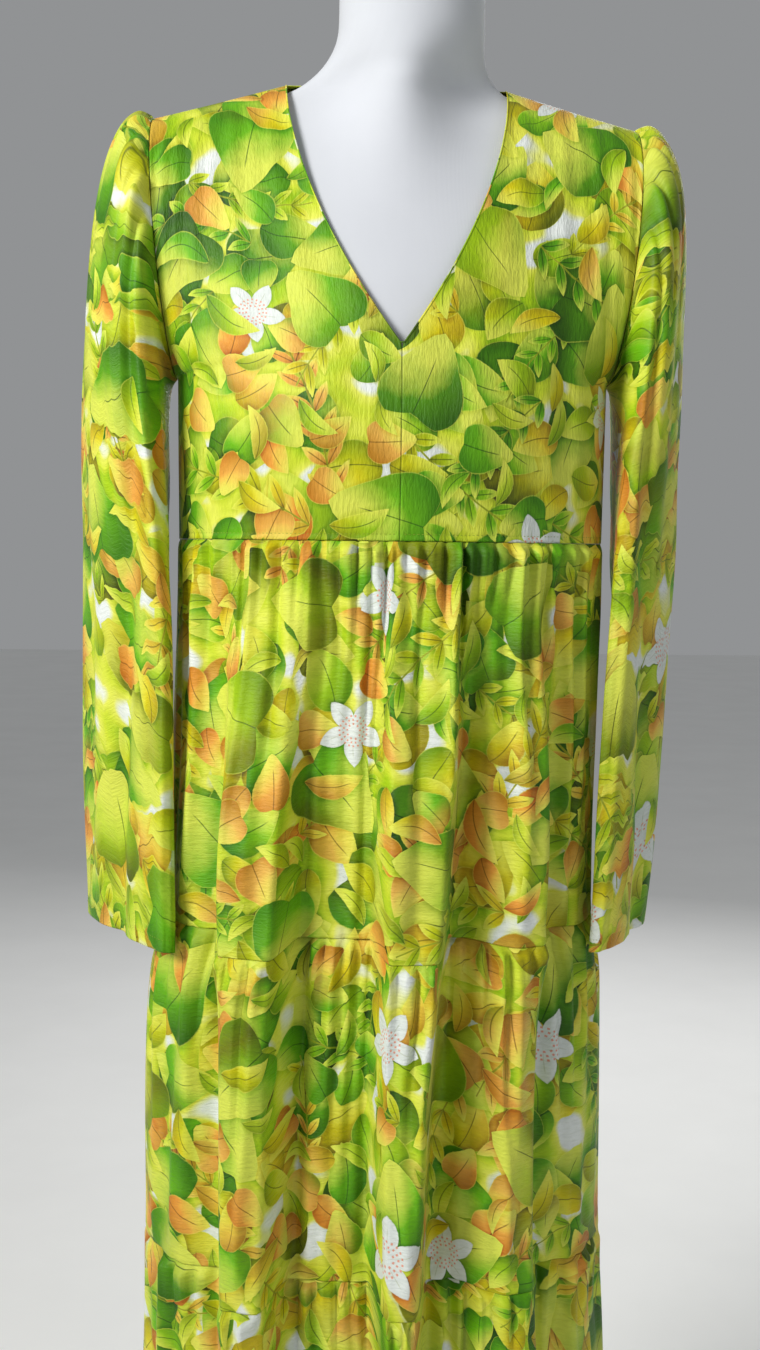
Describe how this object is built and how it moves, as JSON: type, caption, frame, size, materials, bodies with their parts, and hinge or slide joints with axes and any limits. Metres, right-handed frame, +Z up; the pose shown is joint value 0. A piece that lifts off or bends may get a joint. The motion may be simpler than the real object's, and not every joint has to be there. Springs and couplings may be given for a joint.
{
  "type": "silk dress on a dress form",
  "caption": "Tiered maxi dress with a V-neck, gathered empire skirt and long bell sleeves, worn by a plain limbless dress form on a round-based stand.",
  "frame": {"origin": "centre of the round base's underside, on the floor", "axes": "+Z up, -Y towards the front of the dress, +X to the right of someone facing it"},
  "size_m": [0.5163, 0.3442, 1.588],
  "materials": {
    "bodice_cloth": "printed silk crepe, soft sheen",
    "sleeve_cloth": "printed silk crepe, soft sheen",
    "skirt_cloth": "printed silk crepe, soft sheen",
    "form_jersey": "smooth white stretch jersey, stretched over the form",
    "stand_steel": "satin steel tube",
    "stand_enamel": "white enamel on a steel plate"
  },
  "bodies": {
    "root": {"bodice_front_left": "bodice_cloth", "bodice_front_right": "bodice_cloth", "bodice_back": "bodice_cloth", "sleeve_left": "sleeve_cloth", "sleeve_right": "sleeve_cloth", "tier_1_front": "skirt_cloth", "tier_1_back": "skirt_cloth", "tier_2_front": "skirt_cloth", "tier_2_back": "skirt_cloth", "tier_3_front": "skirt_cloth", "tier_3_back": "skirt_cloth", "form_torso": "form_jersey", "stand_pole": "stand_steel", "stand_base": "stand_enamel"}
  },
  "joints": []
}
